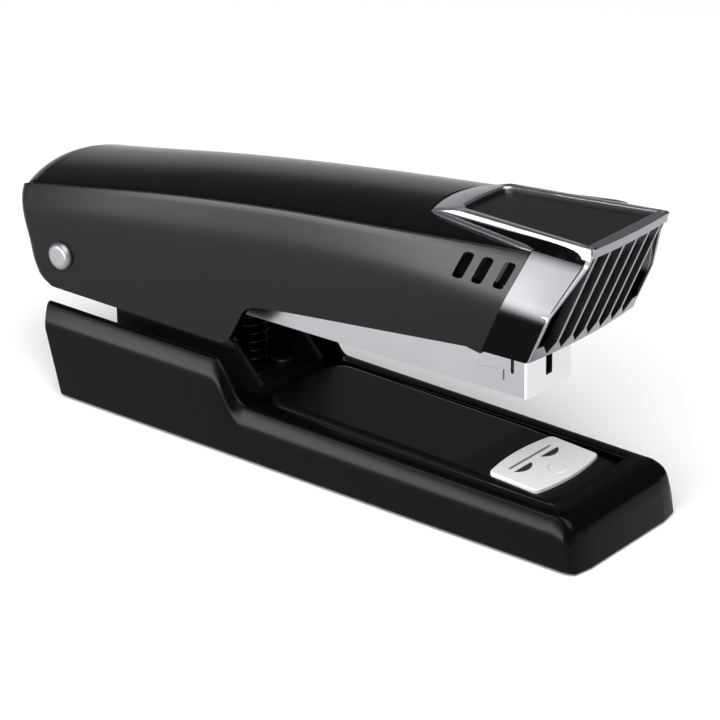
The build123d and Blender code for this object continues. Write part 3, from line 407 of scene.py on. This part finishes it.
# The rear rounds over from the tube into its wall, which closes at a pole low on the middle.
pole_z = skirt[0]
last_y, last_z = y[-1], z[-1]
reach = np.hypot(last_y, last_z - pole_z)
angle = np.linspace(0, 90, 8)[1:, None]
inward = round_off * (1 - np.cos(np.radians(angle)))
ring_y = last_y * (1 - inward / reach)
ring_z = last_z + (pole_z - last_z) * inward / reach
ring = np.stack([rear_x(ring_y, ring_z) + round_off * (1 - np.sin(np.radians(angle))), ring_y, ring_z], -1)
inward = round_off + (reach - round_off) * np.linspace(0, 1, 16)[1:, None]
flat_y = last_y * (1 - inward / reach)
flat_z = last_z + (pole_z - last_z) * inward / reach
flat = np.stack([rear_x(flat_y, flat_z), flat_y, flat_z], -1)

# Semi-gloss ABS: black with a soft, slightly blurred reflection from fine tool texture.
satin_black = finish(
    "cover_abs", "#040405", "#060607", 0.0, 0.22, 0.03, 0.5, 0.001,
    **{"IOR": 1.36, "Specular IOR Level": 0.26},
)
dress(satin_black, "handle_cover")
cover_moulding = surface("cover_moulding", np.concatenate([tube, ring, flat]), satin_black)
thicken(cover_moulding, wall_thick)
vent_at = [(40.8, 59.6), (45.6, 59.7), (51.0, 60.0)]
vent_high, vent_wide, vent_corner = 5.8, 2.7, 0.9
vent_slant = math.tan(math.radians(25.0))
cutter_reach = 25.0
vent_box = np.array([[-1, -1], [1, -1], [1, 1], [-1, 1]]) * [vent_wide / 2, vent_high / 2]
vent_shape = rounded(vent_box[None], [vent_corner] * 4, 5)[0]
cutters = []
for x, z in vent_at:
    ring_x = x + vent_shape[:, 0] + vent_shape[:, 1] * vent_slant
    ring_z = z + vent_shape[:, 1]
    ends = (-cutter_reach, cutter_reach)
    rows = [np.stack([ring_x, np.full_like(ring_x, y), ring_z], -1) for y in ends]
    cutters.append(surface(f"vent_cutter_{x:.0f}", np.stack(rows), satin_black, closed=True, capped=True))
for cutter in cutters:
    cut = cover_moulding.modifiers.new("vent", "BOOLEAN")
    cut.object = cutter
    cut.solver = "EXACT"
settle(cover_moulding, 40)
for cutter in cutters:
    bpy.data.objects.remove(cutter)
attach(cover_moulding, "handle")
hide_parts("handle_cover")

# Nose: an ABS shell ahead of the cover, black on its walls and chamfers and silver on its steep facets. This
# split is painted
# reflection: colour standing in for a chrome-look nose's dark and bright reflections. It has a chromed rim
# round the thumb pad and a thin rail beside it.
face_foot, face_foot_height, face_lean = 57.9, 43.5, 0.43
nose_half, nose_wall = 18.5, 1.5
grille_deep = 1.65
frame_lap = 0.3
rear_corner = np.array([26.6, 8.8, 65.3])
seam_corner = np.array([56.95, 16.15, 66.5])
crest_front = np.array([66.95 - frame_lap, 12.95, 64.75])
rim_edge_rear = np.array([26.9, 8.6, 65.2])
rim_edge_front = np.array([68.5 - frame_lap, 12.95, 68.3])


def between(first, last, count):
    """Evenly spaced points on the straight line from first to last."""
    return first + (last - first) * np.linspace(0, 1, count)[:, None]


seam_rows = 13
foot_front_corner = np.array([face_foot - frame_lap, nose_half, face_foot_height])
foot_line = between(np.array([46.6, nose_half, 43.2]), foot_front_corner, seam_rows)
crease_front = np.array([62.5 - frame_lap, nose_half, 54.2])
crease_line = between(np.array([51.5, nose_half, 54.4]), crease_front, seam_rows)
crest_line = between(seam_corner, crest_front, seam_rows)
drop = (crease_line - foot_line)[:, None]
climb = (crest_line - crease_line)[:, None]
share = np.linspace(0, 1, 9)[:, None]
wall_part = foot_line[:, None] + drop * share * 0.75
crease_part = (
    (1 - share) ** 2 * (foot_line[:, None] + drop * 0.75) + 2 * share * (1 - share) * crease_line[:, None]
    + share**2 * (crease_line[:, None] + climb * 0.25)
)
facet_part = crease_line[:, None] + climb * (0.25 + share * 0.75)
flank = np.concatenate([wall_part, crease_part[:, 1:], facet_part[:, 1:]], 1)
position = np.concatenate([share[:, 0] * 0.35, 0.35 + share[1:, 0] * 0.3, 0.65 + share[1:, 0] * 0.35])
# The share of painted silver reflection across the flank: none on the lower wall, full on the facet, fading
# at the crest.
silver = np.interp(position, [0, 0.42, 0.56, 0.93, 1.0], [0, 0, 1, 1, 0.15])
silver = np.repeat(silver[None], seam_rows, 0)

chamfer_outer = np.concatenate([between(rear_corner, seam_corner, 22)[:-1], crest_line])
chamfer_inner = between(rim_edge_rear, rim_edge_front, len(chamfer_outer))
across_share = np.linspace(0, 1, 7)[:, None]
chamfer = chamfer_outer[:, None] + (chamfer_inner - chamfer_outer)[:, None] * across_share

# Painted reflection on the nose: satin silver-grey facets that fade into deep black walls and chamfers,
# colours standing in for the bright and dark reflections of a chrome-look nose. The silver's metallic value
# and the place of the fade are given.
nose_reflection_paint, tree, shader = new_material("nose_painted_reflection", {"IOR": 1.3, "Specular IOR Level": 0.04})
shade = add_node(tree, "Attribute", attribute_name="silver")
painted_dark_reflection, painted_bright_reflection = linear("#060607"), linear("#909194")
tint = add_node(
    tree, "Mix", {"Factor": shade.outputs["Fac"], 6: painted_dark_reflection, 7: painted_bright_reflection}, data_type="RGBA"
)
dull = add_node(tree, "MapRange", {"Value": shade.outputs["Fac"], "To Min": 0.2, "To Max": 0.48})
metal = add_node(tree, "MapRange", {"Value": shade.outputs["Fac"], "To Max": 0.4})
tree.links.new(tint.outputs[2], shader.inputs["Base Color"])
tree.links.new(metal.outputs["Result"], shader.inputs["Metallic"])
tree.links.new(dull.outputs["Result"], shader.inputs["Roughness"])


def tag(piece, values):
    """Stores one value a vertex, in the grid's own order, as the share of painted silver reflection there."""
    layer = piece.data.attributes.new("silver", "FLOAT", "POINT")
    layer.data.foreach_set("value", np.asarray(values, np.float32).ravel())


for side_name, sign in (("near", -1.0), ("far", 1.0)):
    turn_over_y = np.array([1, sign, 1])
    order = slice(None, None, -1) if sign < 0 else slice(None)
    flank_piece = surface(f"nose_flank_{side_name}", (flank * turn_over_y)[order], nose_reflection_paint)
    tag(flank_piece, silver[order])
    chamfer_piece = surface(f"nose_chamfer_{side_name}", (chamfer * turn_over_y)[order], nose_reflection_paint)
    tag(chamfer_piece, np.zeros(len(chamfer_piece.data.vertices)))
    for piece in (flank_piece, chamfer_piece):
        thicken(piece, nose_wall)
        settle(piece, 35)
        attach(piece, "handle")
        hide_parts("nose_trim")


rim_rear, rim_rear_height = 33.2, 67.3
rim_climb, rim_fall, rim_crown = 0.0394, 0.25, 0.9


def rim_height(x, y):
    """Height of the rim: it rises gently forwards, and falls and is crowned behind the pad."""
    line = rim_rear_height + rim_climb * (x - rim_rear)
    behind = np.clip(rim_rear - x, 0, None)
    crowned = rim_crown * (1 - (y / 9.0) ** 2) * np.clip((35.0 - x) / 8.0, 0, 1)
    return line - behind * rim_fall + crowned


# Satin chrome over ABS: bright and neutral, with a slightly spread highlight.
chrome = finish("chromed_abs", "#ABACAF", "#B6B7BA", 1.0, 0.3, 0.04, 0.4, 0.0005)
dress(chrome, "nose_trim", "nose_grille")
outer_side = between(np.array([68.6, 13.3]), np.array([26.6, wedge_half]), 24)
rear_across = np.linspace(wedge_half, 0, 9)[1:]
outer_rear = np.stack([wedge_back - wedge_bow * (1 - (rear_across / wedge_half) ** 2), rear_across], -1)
inner_side = between(np.array([68.6, 11.9]), np.array([35.2, 7.7]), 24)
inner_rear = np.array([
    [34.2, 7.45], [33.5, 6.9], [33.2, 6.0], [33.15, 5.0], [33.1, 4.0], [33.1, 3.0], [33.05, 1.5], [33.0, 0.0],
])
outer_half = np.concatenate([outer_side, outer_rear])
inner_half = np.concatenate([inner_side, inner_rear])
outer_path = np.concatenate([outer_half * [1, -1], outer_half[:-1][::-1]])
inner_path = np.concatenate([inner_half * [1, -1], inner_half[:-1][::-1]])
rim_share = np.array([0.0, 0.0, 0.04, 0.12, 0.5, 0.88, 0.96, 1.0, 1.0])[:, None]
rim_drop = np.array([2.6, 0.35, 0.1, 0.0, 0.0, 0.0, 0.1, 0.35, 1.6])
rim_plan = outer_path[:, None] + (inner_path - outer_path)[:, None] * rim_share
rim_z = rim_height(rim_plan[..., 0], rim_plan[..., 1]) - rim_drop
rim_grid = np.concatenate([rim_plan, rim_z[..., None]], -1)
nose_rim = surface("nose_rim", rim_grid, chrome, closed=True, capped=True)
settle(nose_rim, 35)

rail_count = 26
rail_line = between(np.array([26.9, 9.1, 65.35]), seam_corner, rail_count)
rail_turn = np.linspace(0, 2 * np.pi, 13)[:-1]
rail_half_wide, rail_half_high = 0.85, 0.5
rail_ring = [np.zeros(12), rail_half_wide * np.cos(rail_turn), rail_half_high * np.sin(rail_turn)]
rail_shape = np.stack(rail_ring, -1)
taper = np.interp(np.linspace(0, 1, rail_count), [0, 0.06, 0.92, 1.0], [0.35, 1, 1, 0.5])[:, None, None]
rail = rail_line[:, None] + rail_shape * taper
nose_rail_near = surface("nose_rail_near", rail[::-1] * [1, -1, 1], chrome, closed=True, capped=True)
nose_rail_far = surface("nose_rail_far", rail, chrome, closed=True, capped=True)
for piece in (nose_rim, nose_rail_near, nose_rail_far):
    settle(piece, 40)
    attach(piece, "handle")
    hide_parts("nose_trim")

# Nose grille: the leaning front of the nose, one foiled ABS plate with seven tall slots whose
# lower ends are pointed. It is bowed forwards a little and stands ahead of a black backing.
face_bow = 1.2
slot_pitch = 4.4
slot_centres = slot_pitch * np.arange(-3, 4)
bar_centres = (slot_centres[1:] + slot_centres[:-1]) / 2
bar_half = 0.36
band_foot, band_head = 66.2, 68.65
point_low, point_high = 44.1, 46.7
grille_foot_half, head_half = 17.4, 12.6
grille_edge = np.array([[18.2, face_foot_height], [18.2, 54.2], [12.7, 64.6], [12.9, band_head]])
grille_inner = np.array([[17.5, face_foot_height], [17.5, 54.0], [12.0, 64.4], [12.0, band_head]])

# Hot-stamped foil on ABS: pewter grey, a broad soft sheen with a faint pebble from the moulding.
foil = finish("foiled_abs", "#8A8B8E", "#94959A", 1.0, 0.32, 0.04, 0.5, 0.001)


def slab(name, low, high):
    """One strip of the grille: across and up points of its two edges, bowed in front and flat behind."""
    front = []
    for edge_points in (low, high):
        y, z = edge_points[:, 0], edge_points[:, 1]
        plane = face_foot + face_lean * (z - face_foot_height)
        front.append(np.stack([plane + face_bow * (1 - (y / nose_half) ** 2), y, z], -1))
        front.append(np.stack([plane - grille_deep + 0.05, y, z], -1))
    rows = np.stack([front[0], front[2], front[3], front[1]], 1)
    made = surface(name, rows, foil, closed=True, capped=True)
    settle(made, 35)
    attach(made, "handle")
    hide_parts("nose_grille")
    return made


def resample(line, count):
    """The line's points spread evenly by their number between its corners."""
    at = np.linspace(0, len(line) - 1, count)
    return np.stack([np.interp(at, np.arange(len(line)), line[:, k]) for k in (0, 1)], -1)


across_band = np.linspace(-grille_foot_half, grille_foot_half, 175)
half_pitch = slot_pitch / 2
nearest_bar = np.abs(across_band[:, None] - bar_centres).min(1)
vee = point_low + (point_high - point_low) * np.clip(1 - nearest_bar / half_pitch, 0, 1)
beyond_last = np.abs(across_band) - slot_centres[-1]
outer_vee = point_low + (point_high - point_low) * np.clip(beyond_last / half_pitch, 0, 1)
vee = np.where(beyond_last > 0, outer_vee, vee)
foot_low = np.stack([across_band, np.full(175, face_foot_height)], -1)
slab("grille_foot", foot_low, np.stack([across_band, vee], -1))
head_y = np.linspace(-head_half, head_half, 31)
head_low, head_high = (np.stack([head_y, np.full(31, z)], -1) for z in (band_foot, band_head))
slab("grille_head", head_low, head_high)
for side_name, sign in (("near", -1.0), ("far", 1.0)):
    inner, outer = (resample(line, 31) * [sign, 1] for line in (grille_inner, grille_edge))
    slab(f"grille_edge_{side_name}", inner, outer)
bar_z = np.linspace(point_high - 0.5, band_foot + 0.2, 16)
for i, centre in enumerate(bar_centres):
    left, right = (np.stack([np.full(16, centre + step), bar_z], -1) for step in (-bar_half, bar_half))
    slab(f"grille_bar_{i + 1}", left, right)

# Grille backing and driver holder: black moulded plastic, unseen but for the dark between the
# bars. Left as moulded, with a dull fine texture that gives back almost no light.
backing = finish(
    "backing_plastic", "#020202", "#030303", 0.0, 0.6, 0.08, 0.3, 0.01, **{"Specular IOR Level": 0.0}
)
dress(backing, "grille_backing", "driver_holder")

# Thumb pad: a smooth black insert pressed into the rim, moulded in a slightly elastic plastic.
# A little softer in reflection than the cover beside it.
pad_black = finish(
    "pad_soft_touch", "#0A0A0B", "#0E0E0F", 0.0, 0.26, 0.03, 0.4, 0.002, **{"Specular IOR Level": 0.06}
)
dress(pad_black, "thumb_pad")

# Deck: pressed sheet steel laid in the base, painted black. Stoved enamel shows a faint
# orange-peel relief and a satin reflection.
deck_enamel = finish(
    "painted_deck", "#070707", "#0A0A0A", 0.0, 0.3, 0.05, 1.2, 0.004, **{"Specular IOR Level": 0.1}
)
dress(deck_enamel, "base_deck")

# Anvil: nickel-plated steel plate held by its riveted post, satin from barrel finishing, so it
# is evenly bright with fine marks along its length. The metallic value is not a real plating's,
# which would be 1: it is set so that the plate stays bright under these soft boxes.
satin_nickel = finish("satin_nickel_plate", "#F2F2F3", "#F7F7F8", 0.3, 0.4, 0.06, 0.12, 0.001, (0.2, 1, 1))
dress(satin_nickel, "anvil_plate", "anvil_post")
# The pressed pockets and cross groove are painted darker than light alone would leave them: the
# shade comes in with depth below the plate's face, and only within the pockets' area.
deck_slope = math.radians(3.2)
anvil_middle, anvil_seat, anvil_thick = 0.0495, 0.011545, 0.00095
pocket_depth, groove_reach, pocket_reach = 0.0003, 0.0046, 0.0086
anvil_tree = satin_nickel.node_tree
anvil_shader = anvil_tree.nodes["Principled BSDF"]
place = add_node(anvil_tree, "TexCoord").outputs["Object"]
upward = (math.sin(deck_slope), 0, math.cos(deck_slope))
forward = (math.cos(deck_slope), 0, -math.sin(deck_slope))
face_height = anvil_middle * upward[0] + anvil_seat * upward[2] + anvil_thick
face_middle = anvil_middle * forward[0] + anvil_seat * forward[2]
height_in, along_in = (
    add_node(anvil_tree, "VectorMath", {0: place, 1: axis}, operation="DOT_PRODUCT").outputs["Value"]
    for axis in (upward, forward)
)
across_in = add_node(anvil_tree, "SeparateXYZ", {"Vector": place}).outputs["Y"]
sunk = add_node(
    anvil_tree, "MapRange",
    {"Value": height_in, "From Min": face_height - 0.00005, "From Max": face_height - pocket_depth},
).outputs["Result"]
near_middle = add_node(
    anvil_tree, "Math", {0: along_in, 1: face_middle, 2: groove_reach}, operation="COMPARE"
).outputs["Value"]
near_line = add_node(
    anvil_tree, "Math", {0: across_in, 1: 0.0, 2: pocket_reach}, operation="COMPARE"
).outputs["Value"]
within = add_node(anvil_tree, "Math", {0: near_middle, 1: near_line}, operation="MULTIPLY").outputs["Value"]
# Painted shade: the plate's colour darkens inside the sunk pockets and cross groove.
painted_pocket_shade = add_node(anvil_tree, "Math", {0: within, 1: sunk}, operation="MULTIPLY").outputs["Value"]
plated = anvil_shader.inputs["Base Color"].links[0].from_socket
anvil_tint = add_node(anvil_tree, "Mix", {"Factor": painted_pocket_shade, 6: plated, 7: linear("#3A3A3B")}, data_type="RGBA")
anvil_tree.links.new(anvil_tint.outputs[2], anvil_shader.inputs["Base Color"])

# Magazine, its front, rail and rod post: nickel-plated sheet, folded and spot-welded. Bright, with
# fine rolling marks along the sheet that stretch its reflections.
nickel_sheet = finish("nickel_steel", "#999A9D", "#A4A5A8", 1.0, 0.24, 0.05, 0.15, 0.0008, (0.08, 1, 1))
dress(nickel_sheet, "magazine_channel", "staple_rail", "rod_post")
# The front is a separate flat pressing of the same plated sheet, a little smoother, coloured lighter as
# painted light, so it is the brightest plane.
lit_nickel_front = finish(
    "nickel_front_painted_light", "#D2D3D5", "#DADBDD", 1.0, 0.2, 0.04, 0.15, 0.0008, (1, 0.08, 1)
)
dress(lit_nickel_front, "magazine_front")

# Lift spring: coiled music wire standing on the bracket under the magazine. It is coloured darker than the
# other spring steel, as painted shade for the dark under the magazine, and keeps a thin bright line on each
# coil.
shaded_wire = finish("lift_spring_painted_shade", "#1A1A1B", "#262627", 1.0, 0.24, 0.05, 0.1, 0.001, (0.3, 1, 1))
dress(shaded_wire, "lift_spring")

# Other springs, rod, staples and driver: drawn or rolled spring steel, lightly oiled. Mid grey
# with drawing marks, darker than the plated parts.
drawn_steel = finish("spring_steel", "#6E6F72", "#85868A", 1.0, 0.34, 0.06, 0.1, 0.001, (0.3, 1, 1))
dress(drawn_steel, "anvil_spring", "follower_spring", "return_spring", "follower_rod")
dress(drawn_steel, "staple_strip", "driver_blade")

# Hinge bracket and its rivets: pressed steel with a black oxide finish, riveted to the base.
# Nearly black, with a dull metallic sheen.
black_oxide = finish(
    "blackened_steel", "#0B0B0C", "#121213", 0.0, 0.36, 0.07, 0.5, 0.003, **{"Specular IOR Level": 0.4}
)
dress(black_oxide, "hinge_bracket", "bracket_rivets")

# Hinge pin: a steel rivet whose heads are domed over the cover's sides, tumbled to a matt
# silver that catches one broad highlight.
tumbled_steel = finish("tumbled_rivet_steel", "#7C7D80", "#88898C", 1.0, 0.42, 0.06, 0.2, 0.002)
dress(tumbled_steel, "hinge_pin")

# Bottom plate and inner frame: zinc-plated sheet steel, punched and folded. Bluish grey with a
# cloudy, slightly uneven gloss.
zinc_sheet = finish("zinc_plated_sheet", "#8F9296", "#A3A6AA", 1.0, 0.4, 0.08, 0.8, 0.001)
dress(zinc_sheet, "base_plate", "handle_frame")

# Screws: zinc-plated self-tapping steel screws, four under the base and four in the inner frame.
# A little brighter and smoother than the sheet they hold.
zinc_screw = finish("zinc_plated_screw", "#A6A8AB", "#B4B6B9", 1.0, 0.3, 0.05, 0.2, 0.001)
dress(zinc_screw, "base_screws", "frame_screws")

# Foot pad: a black rubber sheet, cut to shape and glued under the bottom plate so the stapler
# grips the desk. Matt, with a fine sanded grain.
rubber = finish(
    "pad_rubber", "#0E0E0E", "#151515", 0.0, 0.8, 0.06, 0.25, 0.03, **{"Specular IOR Level": 0.25}
)
dress(rubber, "base_pad")

# Spacers, spring block, follower and anvil button: black nylon, injection moulded. Waxy, with a
# soft dull reflection.
nylon = finish(
    "moulded_nylon", "#101011", "#171718", 0.0, 0.48, 0.06, 0.4, 0.004, **{"Specular IOR Level": 0.4}
)
dress(nylon, "pivot_spacers", "spring_block", "follower", "anvil_button")
